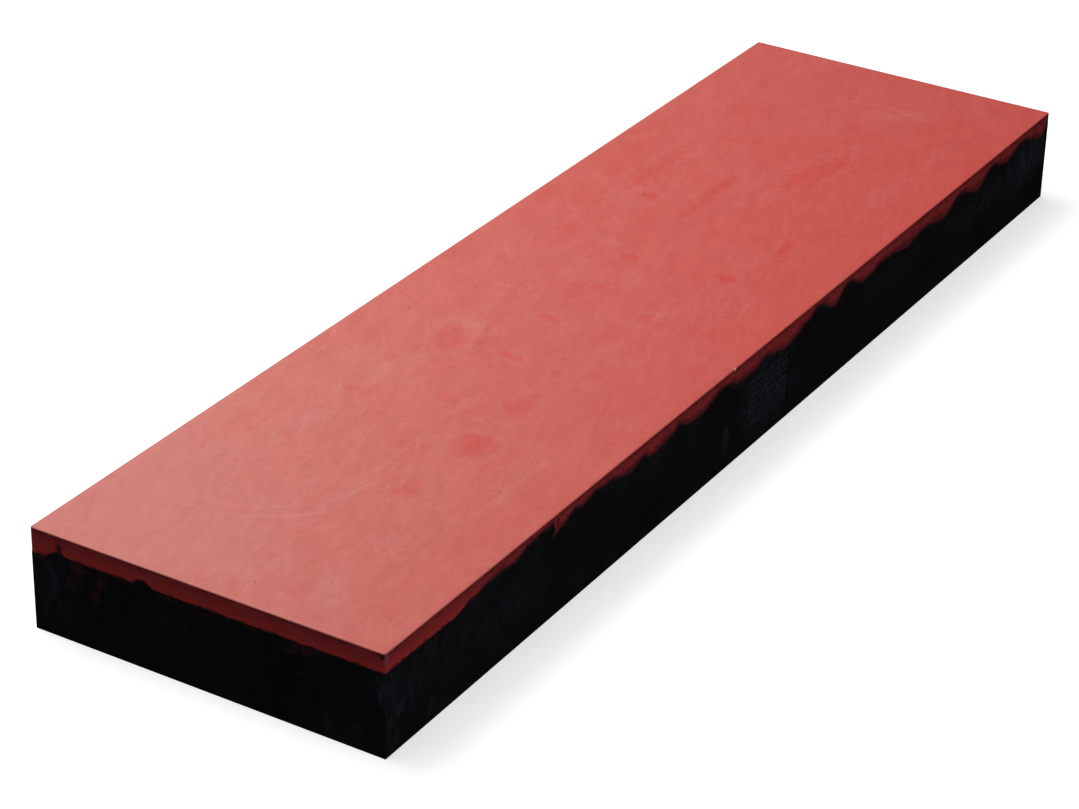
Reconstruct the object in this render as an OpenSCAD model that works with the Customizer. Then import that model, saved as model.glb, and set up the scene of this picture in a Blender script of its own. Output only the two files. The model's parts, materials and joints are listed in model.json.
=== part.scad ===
// Moulded rubber wear block: a red cover of soft rubber cured onto a black body, with a steel
// backing plate and tapped bosses moulded into the body, so that it bolts on from behind.
// Millimetres. +X runs along the block, +Y across it, +Z from the fixing face to the red face.
// The origin is the middle of the fixing face.

/* [Block] */
// Length of the block
block_length = 900; // [700:10:1200]
// Width of the block
block_width = 250; // [220:5:320]
// Height of the block, from the fixing face to the red face
block_height = 70; // [60:1:90]
// Thickness of the red cover in the middle of the block
cover_thickness = 12.5; // [8:0.5:14]
// How far in from each side the wavy edge of the red rubber reaches
flow_reach = 8; // [4:1:15]

/* [Backing plate] */
// Thickness of the steel plate
plate_thickness = 6; // [5:0.5:8]
// Rubber below the plate
plate_skin = 5; // [4:0.5:8]
// Rubber between the edges of the plate and the sides of the block
plate_edge_cover = 15; // [12:1:20]
// Diameter of the holes that the rubber flows through to key the plate
key_hole_diameter = 25; // [16:1:30]
// Number of key holes along the middle of the plate
key_hole_count = 6; // [4:1:6]

/* [Bosses] */
// Distance between bosses along the block
boss_pitch_x = 300; // [250:10:320]
// Distance between the two rows of bosses
boss_pitch_y = 140; // [120:5:160]
// Outer diameter of a boss
boss_diameter = 28; // [26:1:32]
// Height of a boss
boss_height = 32; // [30:1:36]
// Diameter of the collar that sits on the plate
collar_diameter = 36; // [35:1:42]
// Diameter of the tapping hole for the thread
tapping_diameter = 14; // [12:0.1:15]
// Depth of the tapping hole
tapping_depth = 26; // [22:1:27]

/* [Marking panel] */
// Length of the sunk panel in the front side
panel_length = 60; // [50:1:70]
// Height of the sunk panel
panel_height = 44; // [40:1:44]
// Height of the panel's lower edge above the fixing face
panel_bottom = 8; // [6:1:8]
// Depth of the panel
panel_depth = 0.6; // [0.5:0.1:1.2]

/* [Hidden] */
$fn = 64;
BOSS_COUNT_X = 3;
BOSS_NAMES = ["boss_1", "boss_2", "boss_3", "boss_4", "boss_5", "boss_6"];

half_length = block_length / 2;
half_width = block_width / 2;
slack = 1; // how far a cutting shape runs past the face that it cuts

plate_length = block_length - 2 * plate_edge_cover;
plate_width = block_width - 2 * plate_edge_cover;
plate_corner_radius = 10;
plate_top = plate_skin + plate_thickness;
key_hole_pitch = boss_pitch_x / 2;

collar_height = 5;
weld_bead = 3;      // leg of the fillet weld round the collar
mouth_diameter = 17; // countersink at the mouth of the tapping hole
mouth_depth = (mouth_diameter - tapping_diameter) / 2;
drill_point = tapping_diameter / 2 * 0.6;

// The edge of the red rubber on each side, as [place, depth] points. Places run along the side in
// millimetres on a block of the default size, and stretch with the block. Depths are measured down
// from the red face, as percentages of the cover's thickness.
EDGE_FRONT = [
    [0, 102], [60, 104], [70, 108], [88, 76], [108, 60], [120, 62], [135, 76], [152, 36],
    [165, 28], [178, 36], [181, 104], [188, 92], [203, 44], [212, 68], [225, 40], [238, 56],
    [245, 52], [262, 92], [270, 102], [286, 68], [292, 102], [300, 108], [322, 84], [329, 48],
    [335, 80], [345, 104], [360, 108], [385, 52], [400, 72], [406, 102], [430, 108], [445, 72],
    [457, 102], [475, 128], [505, 72], [519, 28], [545, 116], [563, 32], [588, 108], [600, 106],
    [612, 76], [635, 88], [655, 124], [683, 88], [718, 132], [742, 56], [774, 132], [798, 44],
    [825, 104], [852, 48], [888, 124], [900, 56],
];
EDGE_NEAR_END = [
    [0, 102], [160, 104], [166, 76], [171, 78], [176, 104], [223, 106], [229, 82], [235, 110],
    [240, 132], [250, 136],
];
EDGE_BACK = [
    [0, 136], [18, 112], [40, 104], [52, 72], [84, 58], [96, 84], [110, 102], [150, 108],
    [163, 64], [171, 92], [176, 116], [190, 44], [222, 32], [240, 60], [251, 104], [268, 112],
    [276, 84], [281, 104], [330, 110], [345, 76], [398, 64], [410, 100], [424, 128], [447, 96],
    [462, 52], [476, 60], [484, 108], [515, 102], [560, 106], [571, 72], [588, 84], [596, 120],
    [618, 132], [641, 60], [690, 40], [706, 72], [713, 104], [742, 112], [752, 88], [790, 76],
    [803, 100], [812, 128], [838, 108], [860, 68], [880, 84], [900, 96],
];
EDGE_FAR_END = [
    [0, 56], [20, 102], [45, 80], [70, 104], [110, 102], [130, 72], [150, 108], [185, 102],
    [210, 84], [230, 112], [250, 96],
];
EDGE_STEPS = 4; // straight pieces between one point and the next

// Bars in each row of the marking panel, as percentages of the row's length
PANEL_ROWS = [
    [34, 22, 30], [16, 36, 12, 18], [26, 26, 34], [44, 14, 24], [20, 18, 20, 24],
    [30, 46, 10], [12, 28, 36],
];
panel_margin = 3;
panel_bar_gap = 3;
panel_bar_share = 0.5; // share of a row's height that its bars fill

// Share of the way from one value to the next, level at both of them
function ease(t) = (1 - cos(180 * t)) / 2;

// [place, depth] in millimetres at share t of the way between points i and i + 1
function edge_point(edge, side, i, t) =
    let (from = edge[i], to = edge[i + 1], whole_side = edge[len(edge) - 1][0])
    [
        side * (from[0] + t * (to[0] - from[0])) / whole_side,
        cover_thickness * (from[1] + ease(t) * (to[1] - from[1])) / 100,
    ];

// All points of a side's edge
function edge_line(edge, side) = concat(
    [
        for (i = [0 : len(edge) - 2], step = [0 : EDGE_STEPS - 1])
            edge_point(edge, side, i, step / EDGE_STEPS)
    ],
    [[side, cover_thickness * edge[len(edge) - 1][1] / 100]]
);

// The sum of the first n entries
function sum_of(values, n) = n <= 0 ? 0 : values[n - 1] + sum_of(values, n - 1);

// A strip of red rubber along the X axis from 0 to side, with its outer face at y = 0 and mitred
// ends, hanging from the red face down to the side's wavy edge
module edge_strip(edge, side) {
    intersection() {
        translate([0, flow_reach, block_height])
            rotate([90, 0, 0])
                linear_extrude(flow_reach)
                    polygon(concat(
                        [[side, 0], [0, 0]],
                        [for (p = edge_line(edge, side)) [p[0], -p[1]]]
                    ));
        linear_extrude(block_height)
            polygon([
                [0, 0], [side, 0], [side - flow_reach, flow_reach], [flow_reach, flow_reach],
            ]);
    }
}

// The red rubber: a flat sheet in the middle and a wavy strip along each side
module cover_shape() {
    translate([flow_reach - half_length, flow_reach - half_width, block_height - cover_thickness])
        cube([block_length - 2 * flow_reach, block_width - 2 * flow_reach, cover_thickness]);
    translate([-half_length, -half_width, 0])
        edge_strip(EDGE_FRONT, block_length);
    translate([-half_length, half_width, 0])
        mirror([0, 1, 0])
            edge_strip(EDGE_BACK, block_length);
    translate([-half_length, -half_width, 0])
        mirror([1, -1, 0])
            edge_strip(EDGE_NEAR_END, block_width);
    translate([half_length, -half_width, 0])
        rotate(90)
            edge_strip(EDGE_FAR_END, block_width);
}

module wear_cover() {
    color("indianred") cover_shape();
}

// The place of boss number i: two rows of three, counted along the front row first
function boss_place(i) = [
    boss_pitch_x * (i % BOSS_COUNT_X - (BOSS_COUNT_X - 1) / 2),
    boss_pitch_y * (floor(i / BOSS_COUNT_X) - 0.5),
];

// The outside of a boss: a round bar through the plate, a collar on the plate and its weld
module boss_envelope() {
    cylinder(h = boss_height, d = boss_diameter);
    translate([0, 0, plate_top])
        cylinder(h = collar_height, d = collar_diameter);
    translate([0, 0, plate_top])
        cylinder(h = weld_bead, d1 = collar_diameter + 2 * weld_bead, d2 = collar_diameter);
}

// A blind tapping hole that opens at the fixing face
module tapping_hole() {
    translate([0, 0, -slack])
        cylinder(h = tapping_depth + slack, d = tapping_diameter);
    translate([0, 0, tapping_depth])
        cylinder(h = drill_point, d1 = tapping_diameter, d2 = 0);
    cylinder(h = mouth_depth, d1 = mouth_diameter, d2 = tapping_diameter);
}

module boss(i) {
    color("silver")
        translate(boss_place(i))
            difference() {
                boss_envelope();
                tapping_hole();
            }
}

// A plate with round corners
module rounded_plate(size, radius) {
    translate([-size[0] / 2 + radius, -size[1] / 2, 0])
        cube([size[0] - 2 * radius, size[1], size[2]]);
    translate([-size[0] / 2, -size[1] / 2 + radius, 0])
        cube([size[0], size[1] - 2 * radius, size[2]]);
    for (x = [-1, 1], y = [-1, 1])
        translate([x * (size[0] / 2 - radius), y * (size[1] / 2 - radius), 0])
            cylinder(h = size[2], r = radius);
}

module backing_plate() {
    color("dimgray")
        difference() {
            translate([0, 0, plate_skin])
                rounded_plate([plate_length, plate_width, plate_thickness], plate_corner_radius);
            for (i = [0 : len(BOSS_NAMES) - 1])
                translate(boss_place(i))
                    cylinder(h = plate_top + slack, d = boss_diameter);
            for (i = [0 : key_hole_count - 1])
                translate([key_hole_pitch * (i - (key_hole_count - 1) / 2), 0, 0])
                    cylinder(h = plate_top + slack, d = key_hole_diameter);
        }
}

// One row of bars, standing from the panel's floor out to the side of the block
module panel_bars(widths, row_length, bar_height) {
    gap = panel_bar_gap / row_length * 100;
    for (i = [0 : len(widths) - 1])
        translate([row_length * (sum_of(widths, i) + i * gap) / 100, 0, 0])
            cube([row_length * widths[i] / 100, panel_depth, bar_height]);
}

// The space of the marking panel: a sunk rectangle with rows of plain bars left standing in it
module panel_recess() {
    row_pitch = (panel_height - 2 * panel_margin) / len(PANEL_ROWS);
    row_length = panel_length - 2 * panel_margin;
    difference() {
        translate([-panel_length / 2, -slack, panel_bottom])
            cube([panel_length, panel_depth + slack, panel_height]);
        for (row = [0 : len(PANEL_ROWS) - 1])
            translate([-row_length / 2, 0, panel_bottom + panel_margin + row * row_pitch])
                panel_bars(PANEL_ROWS[row], row_length, row_pitch * panel_bar_share);
    }
}

module rubber_body() {
    color("#1c1c1e")
        difference() {
            translate([-half_length, -half_width, 0])
                cube([block_length, block_width, block_height]);
            cover_shape();
            backing_plate();
            for (i = [0 : len(BOSS_NAMES) - 1])
                translate(boss_place(i))
                    boss_envelope();
            translate([0, -half_width, 0])
                panel_recess();
        }
}

wear_cover();
rubber_body();
backing_plate();
for (i = [0 : len(BOSS_NAMES) - 1])
    boss(i);
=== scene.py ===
"""The looks of a moulded rubber wear block: a soft red cover cured onto a black body.

Everything is in metres in the part's own frame: +X along the block, +Y across it, +Z up, and the
origin in the middle of the fixing face. Lists of marks give places in millimetres from the near
end (-X) and from the front side (-Y), which is how they would be measured on the block.
"""

import json
import math
from collections import namedtuple

import bmesh
import bpy
import numpy as np
from mathutils import Matrix, Vector, noise

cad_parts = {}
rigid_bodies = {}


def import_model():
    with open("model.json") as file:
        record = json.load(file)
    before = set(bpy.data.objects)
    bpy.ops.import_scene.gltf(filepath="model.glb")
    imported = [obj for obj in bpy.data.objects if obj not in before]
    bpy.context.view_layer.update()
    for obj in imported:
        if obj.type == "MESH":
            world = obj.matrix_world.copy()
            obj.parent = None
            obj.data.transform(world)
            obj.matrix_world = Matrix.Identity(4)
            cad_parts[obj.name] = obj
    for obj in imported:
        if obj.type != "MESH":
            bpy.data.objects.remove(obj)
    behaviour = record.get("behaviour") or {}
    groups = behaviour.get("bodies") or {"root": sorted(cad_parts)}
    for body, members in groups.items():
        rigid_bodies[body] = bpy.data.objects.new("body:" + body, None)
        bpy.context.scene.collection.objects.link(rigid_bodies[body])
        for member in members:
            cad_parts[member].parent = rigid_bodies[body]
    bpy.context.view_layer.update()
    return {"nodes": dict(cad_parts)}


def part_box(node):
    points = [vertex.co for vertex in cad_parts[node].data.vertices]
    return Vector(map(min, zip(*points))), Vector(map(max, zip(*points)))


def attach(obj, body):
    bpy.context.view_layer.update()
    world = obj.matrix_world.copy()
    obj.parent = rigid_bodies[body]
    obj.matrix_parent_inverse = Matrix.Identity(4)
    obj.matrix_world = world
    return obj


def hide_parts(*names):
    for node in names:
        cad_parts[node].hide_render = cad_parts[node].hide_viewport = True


for startup_object in list(bpy.data.objects):
    bpy.data.objects.remove(startup_object)

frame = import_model()

MM = 0.001
CLOSE = 0.01 * MM  # two places nearer than this are the same

# ---- sizes, from the frame

HALF_LENGTH, HALF_WIDTH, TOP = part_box("wear_cover")[1]
BOSSES = sorted(name for name in frame["nodes"] if name.startswith("boss_"))


def new_object(name, data):
    """An object made of that data, linked into the scene."""
    made = bpy.data.objects.new(name, data)
    bpy.context.scene.collection.objects.link(made)
    return made


# ---- camera

CAMERA_PLACE = Vector((-1.6918, -0.9651, 1.0441))
CAMERA_TARGET = Vector((-0.1034, -0.0122, 0.035))
CAMERA_ROLL = math.radians(1.284)
SENSOR_WIDTH = 36.0
LENS = 108.23
CLIP_END = 100.0


def make_camera():
    data = bpy.data.cameras.new("camera")
    data.sensor_fit = "HORIZONTAL"
    data.sensor_width = SENSOR_WIDTH
    data.lens = LENS
    data.clip_end = CLIP_END
    camera = new_object("camera", data)
    aim = (CAMERA_TARGET - CAMERA_PLACE).to_track_quat("-Z", "Y").to_matrix().to_4x4()
    roll = Matrix.Rotation(CAMERA_ROLL, 4, "Z")
    camera.matrix_world = Matrix.Translation(CAMERA_PLACE) @ aim @ roll
    bpy.context.scene.camera = camera


# ---- stations round the block

COARSE_STEP = 2.5 * MM  # columns of the wear face and of the lower sides
CORNER_STEP = 4 * MM  # first and last column of each side, wide enough for the rounded corners
PANEL_HALF_LENGTH = 30 * MM
PANEL_BOTTOM = 8 * MM
PANEL_TOP = 52 * MM
PANEL_DEPTH = 0.6 * MM
INTERFACE_INSET = 8 * MM  # how far in from the sides the two rubbers meet level
INTERFACE_HEIGHT = TOP - 12.5 * MM


def spread(start, end, step):
    """Evenly spread places from start to end, about step apart."""
    count = max(1, round((end - start) / step))
    return list(np.linspace(start, end, count + 1))


def places_along(half, breaks=()):
    """Column places from -half to half, with a column on each of the breaks."""
    stops = [-half + CORNER_STEP, *breaks, half - CORNER_STEP]
    places = [-half]
    for start, end in zip(stops[:-1], stops[1:]):
        places += spread(start, end, COARSE_STEP)[:-1]
    return places + [stops[-1], half]


X_PLACES = places_along(HALF_LENGTH, (-PANEL_HALF_LENGTH, PANEL_HALF_LENGTH))
Y_PLACES = places_along(HALF_WIDTH)


def wavy_edge(axis, side_place):
    """Places and heights of the cover's lower edge on the side where the other axis is side_place."""
    across = 1 - axis
    edge = {}
    for vertex in frame["nodes"]["wear_cover"].data.vertices:
        on_side = abs(vertex.co[across] - side_place) < CLOSE
        if on_side and vertex.co.z < TOP - 1 * MM:
            edge[round(vertex.co[axis], 5)] = vertex.co.z
    places = sorted(edge)
    return np.array(places), np.array([edge[place] for place in places])


RAGGED_WAVES = ((9.0, 0.55), (3.2, 0.35), (1.6, 0.2))  # size and height of each, in millimetres
RAGGED_FADE = 8 * MM  # the ragged edge dies out this close to a corner


def ragged(place, half, seed):
    """Small unevenness of the edge between the two rubbers, as a height."""
    total = 0.0
    for size, height in RAGGED_WAVES:
        total += height * MM * noise.noise(Vector((place / (size * MM), seed, size)))
    return total * min(1.0, (half - abs(place)) / RAGGED_FADE)


# One place on the block's outline: where it is, and how high the black rubber reaches there
Station = namedtuple("Station", "x y edge_height coarse")


def side_stations(axis, side_place, places, seed):
    """Stations along one side, from the first place up to but not including the last."""
    edge_places, edge_heights = wavy_edge(axis, side_place)
    half = abs(places[0])
    stations = []
    for index, (start, end) in enumerate(zip(places[:-1], places[1:])):
        in_corner = index in (0, len(places) - 2)
        for step, place in enumerate([start] if in_corner else [start, (start + end) / 2]):
            height = float(np.interp(place, edge_places, edge_heights)) + ragged(place, half, seed)
            point = (place, side_place) if axis == 0 else (side_place, place)
            stations.append(Station(*point, height, step == 0))
    return stations


def outline():
    """Stations all round the block, anticlockwise from the near front corner."""
    return (
        side_stations(0, -HALF_WIDTH, X_PLACES, 1)
        + side_stations(1, HALF_LENGTH, Y_PLACES, 2)
        + side_stations(0, HALF_WIDTH, X_PLACES[::-1], 3)
        + side_stations(1, -HALF_LENGTH, Y_PLACES[::-1], 4)
    )


STATIONS = outline()

# ---- mesh building

# Each face carries the number of the surface that it belongs to, for the texture layout
TOP_FACE, FRONT, FAR_END, BACK, NEAR_END, UNDERSIDE, HIDDEN = range(7)


def surface_of(x, y):
    """The side that a point of the outline lies on."""
    if abs(abs(y) - HALF_WIDTH) < CORNER_STEP / 2 and abs(x) < HALF_LENGTH:
        return FRONT if y < 0 else BACK
    return FAR_END if x > 0 else NEAR_END


SHARP_ANGLE = math.radians(40)
EDGE_SEGMENTS = 3  # flat strips in each rounded edge of the block


def add_object(mesh, name, sharp_edges=True):
    """The object made of a mesh, smooth but for its sharp edges."""
    for face in mesh.faces:
        face.smooth = True
    if sharp_edges:
        mesh.normal_update()
        for edge in mesh.edges:
            edge.smooth = edge.calc_face_angle(0.0) < SHARP_ANGLE
    data = bpy.data.meshes.new(name)
    mesh.to_mesh(data)
    mesh.free()
    return new_object(name, data)


def bevel(mesh, edges, radius, segments):
    shape = {"offset": radius, "segments": segments, "profile": 0.5, "clamp_overlap": True}
    bmesh.ops.bevel(mesh, geom=edges, affect="EDGES", **shape)


class Skin:
    """A mesh that is built ring by ring round the block."""

    def __init__(self):
        self.mesh = bmesh.new()
        self.surface = self.mesh.faces.layers.int.new("surface")
        self.fringe = self.mesh.verts.layers.float.new("fringe")

    def ring(self, height, only_coarse=False, scale=(1.0, 1.0), fringe=0.0):
        """One vertex for each station, or None where only_coarse leaves it out.

        The fringe is 1 on the edge where red rubber thins out over black, and 0 away from it.
        """
        vertices = []
        for station in STATIONS:
            if only_coarse and not station.coarse:
                vertices.append(None)
                continue
            z = height(station) if callable(height) else height
            vertex = self.mesh.verts.new((station.x * scale[0], station.y * scale[1], z))
            vertex[self.fringe] = fringe
            vertices.append(vertex)
        return vertices

    def face(self, vertices, surface):
        face = self.mesh.faces.new(vertices)
        face[self.surface] = surface
        return face

    def band(self, upper, lower, surface=None):
        """Faces between two rings. Where one is coarser, each face takes the finer one's middle.

        Returns the lower ring.
        """
        count = len(STATIONS)
        start = 0
        while start < count:
            end = start + 1
            while upper[end % count] is None or lower[end % count] is None:
                end += 1
            low = [lower[i % count] for i in range(start, end + 1) if lower[i % count]]
            high = [upper[i % count] for i in range(end, start - 1, -1) if upper[i % count]]
            middle = (Vector(low[0].co) + Vector(low[-1].co)) / 2
            here = surface_of(middle.x, middle.y) if surface is None else surface
            self.face(low + high, here)
            start = end
        return lower

    def fill(self, rings, surface, upwards):
        """Flat faces inside the first ring, round any others."""
        edges = []
        for ring in rings:
            closed = [vertex for vertex in ring if vertex]
            for one, other in zip(closed, closed[1:] + closed[:1]):
                edges.append(self.mesh.edges.get((one, other)) or self.mesh.edges.new((one, other)))
        filled = bmesh.ops.triangle_fill(self.mesh, use_beauty=True, edges=edges)["geom"]
        for face in filled:
            if isinstance(face, bmesh.types.BMFace):
                face[self.surface] = surface
                face.normal_update()
                if (face.normal.z > 0) != upwards:
                    face.normal_flip()

    def round_edges(self, chosen, radius):
        bevel(self.mesh, [edge for edge in self.mesh.edges if chosen(edge)], radius, EDGE_SEGMENTS)


TOP_RADIUS = 0.8 * MM
CORNER_RADIUS = 1.2 * MM
WORN_CORNER_RADIUS = 2.0 * MM  # the cover's near front corner is the most rubbed
BODY_CORNER_RADIUS = 0.6 * MM
BOTTOM_RADIUS = 0.3 * MM


def is_upright_corner(edge, near_front):
    """True for an edge that stands on a corner of the block: the near front one, or the others."""
    one, other = (vertex.co for vertex in edge.verts)
    at_corner = all(
        abs(abs(point.x) - HALF_LENGTH) < CLOSE and abs(abs(point.y) - HALF_WIDTH) < CLOSE
        for point in (one, other)
    )
    return at_corner and (one.x < 0 and one.y < 0) == near_front


def is_outline_at(edge, height):
    """True for an edge of the outline at that height."""
    return all(
        abs(vertex.co.z - height) < CLOSE
        and (
            abs(vertex.co.x) > HALF_LENGTH - WORN_CORNER_RADIUS - CLOSE
            or abs(vertex.co.y) > HALF_WIDTH - WORN_CORNER_RADIUS - CLOSE
        )
        for vertex in edge.verts
    ) and any(abs(face.normal.z) < 0.5 for face in edge.link_faces)


def round_layer(skin, near_radius, corner_radius, height, edge_radius):
    """Rounds a layer's upright corners, the near front one by its own radius, and one outline."""
    skin.round_edges(lambda edge: is_upright_corner(edge, True), near_radius)
    skin.round_edges(lambda edge: is_upright_corner(edge, False), corner_radius)
    skin.mesh.normal_update()
    skin.round_edges(lambda edge: is_outline_at(edge, height), edge_radius)


RELIEF_WAVES = ((70.0, 0.10), (24.0, 0.06), (9.0, 0.025))  # size and height, in millimetres
RELIEF_FADE = 10 * MM
WEAR_SINK = 0.08 * MM  # how far the wear face lies below its rim
RELIEF_SEED = 11


def relief(x, y):
    """Height of the slight flow marks that the mould leaves in a face."""
    total = 0.0
    for size, height in RELIEF_WAVES:
        total += height * MM * noise.noise(Vector((x / (size * MM), y / (size * MM), RELIEF_SEED)))
    return total


def near_edge_fade(x, y):
    """0 at the block's edges, 1 well inside them."""
    inside = min(HALF_LENGTH - abs(x), HALF_WIDTH - abs(y))
    return min(1.0, max(0.0, inside / RELIEF_FADE))


def make_wear_face(skin, ring):
    """The grid of the red face, inside the ring of coarse stations."""
    border = {(round(v.co.x, 6), round(v.co.y, 6)): v for v in ring if v}
    grid = []
    for x in X_PLACES:
        column = []
        for y in Y_PLACES:
            vertex = border.get((round(x, 6), round(y, 6)))
            if vertex is None:
                z = TOP + (relief(x, y) - WEAR_SINK) * near_edge_fade(x, y)
                vertex = skin.mesh.verts.new((x, y, min(z, TOP)))
            column.append(vertex)
        grid.append(column)
    for left, right in zip(grid[:-1], grid[1:]):
        for j in range(len(Y_PLACES) - 1):
            skin.face((left[j], right[j], right[j + 1], left[j + 1]), TOP_FACE)


FIRST_ROW = 1.7 * MM  # depth of the first row below the red face
FRINGE_BY_ROW = (0.0, 0.0, 0.15, 0.5, 1.0)
COVER_ROWS = len(FRINGE_BY_ROW) - 1
INNER_SCALE = (
    (HALF_LENGTH - INTERFACE_INSET) / HALF_LENGTH,
    (HALF_WIDTH - INTERFACE_INSET) / HALF_WIDTH,
)


def make_cover():
    """The red cover: the wear face, its wavy-edged sides and the hidden face on the black rubber."""
    skin = Skin()
    top_ring = skin.ring(TOP, only_coarse=True)
    make_wear_face(skin, top_ring)
    above = top_ring
    for row in range(COVER_ROWS + 1):
        share = row / COVER_ROWS
        below = skin.ring(
            lambda s: (TOP - FIRST_ROW) * (1 - share) + s.edge_height * share,
            fringe=FRINGE_BY_ROW[row],
        )
        above = skin.band(above, below)
    inner = skin.ring(INTERFACE_HEIGHT, scale=INNER_SCALE)
    skin.band(above, inner, HIDDEN)
    skin.fill([inner], HIDDEN, upwards=False)
    round_layer(skin, WORN_CORNER_RADIUS, CORNER_RADIUS, TOP, TOP_RADIUS)
    return add_object(skin.mesh, "red_cover")


BODY_EDGE_ROWS = 3
ROW_STEP = 3.8 * MM
BOTTOM_ROWS = (5 * MM, 2.2 * MM, 0.0)
ROUND_SIDES = 48  # sides of the bosses and of every round room in the body


def boss_axis(name):
    """Centre of a boss, in plan."""
    low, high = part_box(name)
    return Vector(((low.x + high.x) / 2, (low.y + high.y) / 2, 0))


def boss_profile(name):
    """Radius and height of each vertex of a boss's CAD mesh."""
    centre = boss_axis(name)
    vertices = frame["nodes"][name].data.vertices
    return [((vertex.co.xy - centre.xy).length, vertex.co.z) for vertex in vertices]


def boss_radius(name):
    """Radius of a boss where it opens in the underside."""
    return max(radius for radius, z in boss_profile(name) if z < CLOSE)


def circle(skin, centre, radius, z, sides=ROUND_SIDES):
    """A ring of vertices round an upright axis."""
    angles = [2 * math.pi * i / sides for i in range(sides)]
    return [
        skin.mesh.verts.new((centre.x + radius * math.cos(a), centre.y + radius * math.sin(a), z))
        for a in angles
    ]


def wall(skin, rings):
    """Faces between closed rings, from the lowest up, that look in towards the rings' middle."""
    for lower, upper in zip(rings[:-1], rings[1:]):
        for i in range(len(lower)):
            j = (i + 1) % len(lower)
            skin.face((lower[i], upper[i], upper[j], lower[j]), HIDDEN)


def make_pocket(skin, name):
    """The room that a boss fills below the plate and above it, with its collar and weld.

    Returns the mouth in the underside and the openings in the floor and roof of the plate's room.
    """
    centre, radius = boss_axis(name), boss_radius(name)
    collar, collar_high, collar_low, weld, foot = boss_steps(name)
    below = [circle(skin, centre, radius, z) for z in (0.0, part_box("backing_plate")[0].z)]
    steps = [(weld, foot), (collar, collar_low), (collar, collar_high), (radius, collar_high)]
    above = [circle(skin, centre, *step) for step in [*steps, (radius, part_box(name)[1].z)]]
    wall(skin, below)
    wall(skin, above)
    skin.face(above[-1][::-1], HIDDEN)
    return below[0], below[-1], above[0]


PLATE_CORNER = 10 * MM
CORNER_SIDES = 8  # sides in each rounded corner of the plate
KEY_RADIUS = 12.5 * MM
KEY_PITCH = 150 * MM
KEY_COUNT = 6
KEY_PLACES = [KEY_PITCH * (i - (KEY_COUNT - 1) / 2) for i in range(KEY_COUNT)]


def plate_outline(skin, z):
    """The plate's outline with its round corners, anticlockwise."""
    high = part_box("backing_plate")[1]
    ring = []
    for quarter, (along, across) in enumerate(((1, 1), (-1, 1), (-1, -1), (1, -1))):
        x, y = along * (high.x - PLATE_CORNER), across * (high.y - PLATE_CORNER)
        for step in range(CORNER_SIDES + 1):
            angle = (quarter + step / CORNER_SIDES) * math.pi / 2
            point = (x + PLATE_CORNER * math.cos(angle), y + PLATE_CORNER * math.sin(angle), z)
            ring.append(skin.mesh.verts.new(point))
    return ring


def make_plate_room(skin, floor_openings, roof_openings):
    """The room that the plate fills, with a column of rubber through each key hole."""
    heights = [corner.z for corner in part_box("backing_plate")]
    outlines = [plate_outline(skin, z) for z in heights]
    wall(skin, outlines)
    floor, roof = [outlines[0], *floor_openings], [outlines[1], *roof_openings]
    for x in KEY_PLACES:
        lower, upper = (circle(skin, Vector((x, 0, 0)), KEY_RADIUS, z) for z in heights)
        wall(skin, [lower[::-1], upper[::-1]])
        floor.append(lower)
        roof.append(upper)
    skin.fill(floor, HIDDEN, upwards=True)
    skin.fill(roof, HIDDEN, upwards=False)


def sink_panel(skin):
    """Sinks the marking panel into the front side."""
    chosen = []
    for face in skin.mesh.faces:
        middle = face.calc_center_median()
        on_front = abs(middle.y + HALF_WIDTH) < CLOSE
        if on_front and abs(middle.x) < PANEL_HALF_LENGTH and PANEL_BOTTOM < middle.z < PANEL_TOP:
            chosen.append(face)
    extruded = bmesh.ops.extrude_face_region(skin.mesh, geom=chosen)["geom"]
    floor = [item for item in extruded if isinstance(item, bmesh.types.BMVert)]
    bmesh.ops.translate(skin.mesh, verts=floor, vec=(0, PANEL_DEPTH, 0))
    bmesh.ops.delete(skin.mesh, geom=chosen, context="FACES")
    for face in skin.mesh.faces:
        middle = face.calc_center_median()
        if abs(middle.y + HALF_WIDTH) < PANEL_DEPTH and abs(middle.x) < HALF_LENGTH - CORNER_STEP:
            face[skin.surface] = FRONT if middle.z > CLOSE else UNDERSIDE


def make_body():
    """The black body: its sides up to the wavy edge, its underside with the boss pockets."""
    skin = Skin()
    inner = skin.ring(INTERFACE_HEIGHT, scale=INNER_SCALE)
    skin.fill([inner], HIDDEN, upwards=True)
    above = skin.ring(lambda station: station.edge_height, fringe=1.0)
    skin.band(inner, above, HIDDEN)
    for row in range(1, BODY_EDGE_ROWS):
        share = row / BODY_EDGE_ROWS
        below = skin.ring(lambda s: s.edge_height * (1 - share) + PANEL_TOP * share)
        above = skin.band(above, below)
    for height in spread(PANEL_TOP, PANEL_BOTTOM, -ROW_STEP) + list(BOTTOM_ROWS):
        above = skin.band(above, skin.ring(height, only_coarse=True))
    mouths, floor_openings, roof_openings = zip(*(make_pocket(skin, name) for name in BOSSES))
    skin.fill([above, *mouths], UNDERSIDE, upwards=False)
    make_plate_room(skin, floor_openings, roof_openings)
    sink_panel(skin)
    round_layer(skin, BODY_CORNER_RADIUS, BODY_CORNER_RADIUS, 0.0, BOTTOM_RADIUS)
    return add_object(skin.mesh, "black_body")


# ---- bosses

THREAD_PITCH = 2.0 * MM
THREAD_INNER = 6.95 * MM
THREAD_OUTER = 7.95 * MM
THREAD_ROWS = 4  # rows of vertices in each turn of thread
THREAD_START = 1.5 * MM
THREAD_END = 26.0 * MM
DRILL_TIP = 30.2 * MM
MOUTH_RADIUS = 8.5 * MM
BOSS_CHAMFER = 0.8 * MM
COLLAR_CHAMFER = 0.5 * MM
WELD_HOLLOW = 0.3 * MM  # how far the weld dips below a straight bead


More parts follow.
